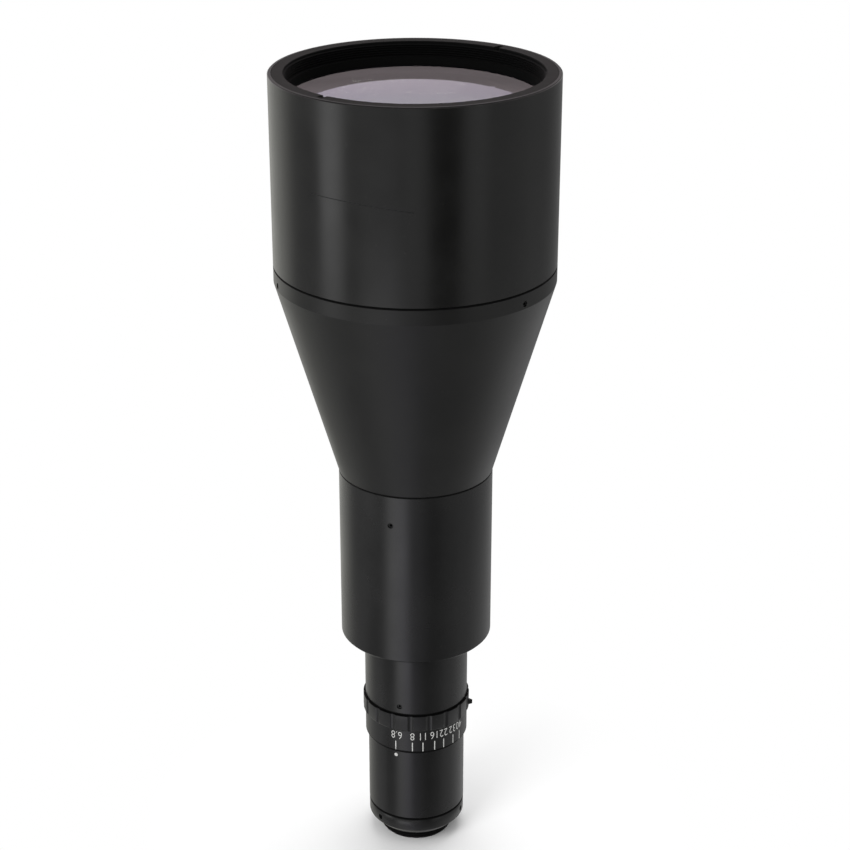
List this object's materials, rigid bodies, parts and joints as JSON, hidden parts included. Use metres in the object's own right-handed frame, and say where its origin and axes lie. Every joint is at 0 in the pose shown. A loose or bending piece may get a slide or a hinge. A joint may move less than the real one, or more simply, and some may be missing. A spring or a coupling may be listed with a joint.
{
  "type": "telecentric lens",
  "caption": "Long machine-vision lens: wide front housing, cone, stepped barrels, aperture ring with leaf diaphragm and camera mount ring.",
  "frame": {"origin": "centre of the camera thread's end face, on which the lens stands", "axes": "+Z along the optical axis towards the front glass; -Y is the side with the aperture scale and index dot"},
  "size_m": [0.0922, 0.0922, 0.2787],
  "materials": {
    "black_anodised": "satin black anodised",
    "blackened_brass": "chemically blackened",
    "blackened_steel": "black oxide",
    "leaf_steel": "matt black lacquered spring steel",
    "coated_glass": "polished with a broad-band anti-reflection coating"
  },
  "bodies": {
    "lens_body": {"rear_barrel": "black_anodised", "rear_spacer_ring": "black_anodised", "rear_retaining_ring": "black_anodised", "iris_tube": "black_anodised", "mid_barrel": "black_anodised", "middle_lens_cell": "black_anodised", "middle_retaining_ring": "black_anodised", "cone_housing": "black_anodised", "cone_light_stop": "black_anodised", "front_light_stop": "black_anodised", "front_housing": "black_anodised", "front_spacer_ring": "black_anodised", "front_retaining_ring": "black_anodised", "iris_retaining_ring": "black_anodised", "iris_base_plate": "blackened_brass", "tube_set_screws": "blackened_steel", "mid_set_screws": "blackened_steel", "cone_set_screws": "blackened_steel", "front_lens": "coated_glass", "front_inner_lens": "coated_glass", "middle_crown_lens": "coated_glass", "middle_flint_lens": "coated_glass", "rear_crown_lens": "coated_glass", "rear_flint_lens": "coated_glass", "rear_lens": "coated_glass"},
    "aperture_control": {"iris_ring": "black_anodised", "iris_drive_screw": "blackened_steel", "iris_cam_ring": "blackened_brass"},
    "lock_screw": {"iris_lock_screw": "blackened_steel"},
    "mount": {"mount_ring": "black_anodised", "mount_set_screws": "blackened_steel"},
    "blade_1": {"iris_blade_1": "leaf_steel"},
    "blade_2": {"iris_blade_2": "leaf_steel"},
    "blade_3": {"iris_blade_3": "leaf_steel"},
    "blade_4": {"iris_blade_4": "leaf_steel"},
    "blade_5": {"iris_blade_5": "leaf_steel"},
    "blade_6": {"iris_blade_6": "leaf_steel"},
    "blade_7": {"iris_blade_7": "leaf_steel"},
    "blade_8": {"iris_blade_8": "leaf_steel"}
  },
  "joints": [
    {"name": "aperture_turn", "type": "hinge", "parent": "lens_body", "child": "aperture_control", "pos_m": [0, 0, 0.048], "axis": [0, 0, -1], "range_deg": [0, 80.9]},
    {"name": "lock_screw_turn", "type": "hinge", "parent": "aperture_control", "child": "lock_screw", "pos_m": [0.0187, -0.00197, 0.05145], "axis": [0.9945, -0.1045, 0], "range_deg": [0, 360]},
    {"name": "mount_turn", "type": "hinge", "parent": "lens_body", "child": "mount", "pos_m": [0, 0, 0.008], "axis": [0, 0, 1], "continuous": true},
    {"name": "blade_1_swing", "type": "hinge", "parent": "lens_body", "child": "blade_1", "pos_m": [0.0113, 0, 0.0512], "axis": [0, 0, 1], "range_deg": [0, 17.93]},
    {"name": "blade_2_swing", "type": "hinge", "parent": "lens_body", "child": "blade_2", "pos_m": [0.00799, 0.00799, 0.0512], "axis": [0, 0, 1], "range_deg": [0, 17.93]},
    {"name": "blade_3_swing", "type": "hinge", "parent": "lens_body", "child": "blade_3", "pos_m": [0, 0.0113, 0.0512], "axis": [0, 0, 1], "range_deg": [0, 17.93]},
    {"name": "blade_4_swing", "type": "hinge", "parent": "lens_body", "child": "blade_4", "pos_m": [-0.00799, 0.00799, 0.0512], "axis": [0, 0, 1], "range_deg": [0, 17.93]},
    {"name": "blade_5_swing", "type": "hinge", "parent": "lens_body", "child": "blade_5", "pos_m": [-0.0113, 0, 0.0512], "axis": [0, 0, 1], "range_deg": [0, 17.93]},
    {"name": "blade_6_swing", "type": "hinge", "parent": "lens_body", "child": "blade_6", "pos_m": [-0.00799, -0.00799, 0.0512], "axis": [0, 0, 1], "range_deg": [0, 17.93]},
    {"name": "blade_7_swing", "type": "hinge", "parent": "lens_body", "child": "blade_7", "pos_m": [0, -0.0113, 0.0512], "axis": [0, 0, 1], "range_deg": [0, 17.93]},
    {"name": "blade_8_swing", "type": "hinge", "parent": "lens_body", "child": "blade_8", "pos_m": [0.00799, -0.00799, 0.0512], "axis": [0, 0, 1], "range_deg": [0, 17.93]}
  ],
  "couplings": [
    {"joint": "blade_1_swing", "follows": "aperture_turn", "ratio": 0.22152},
    {"joint": "blade_2_swing", "follows": "aperture_turn", "ratio": 0.22152},
    {"joint": "blade_3_swing", "follows": "aperture_turn", "ratio": 0.22152},
    {"joint": "blade_4_swing", "follows": "aperture_turn", "ratio": 0.22152},
    {"joint": "blade_5_swing", "follows": "aperture_turn", "ratio": 0.22152},
    {"joint": "blade_6_swing", "follows": "aperture_turn", "ratio": 0.22152},
    {"joint": "blade_7_swing", "follows": "aperture_turn", "ratio": 0.22152},
    {"joint": "blade_8_swing", "follows": "aperture_turn", "ratio": 0.22152}
  ]
}
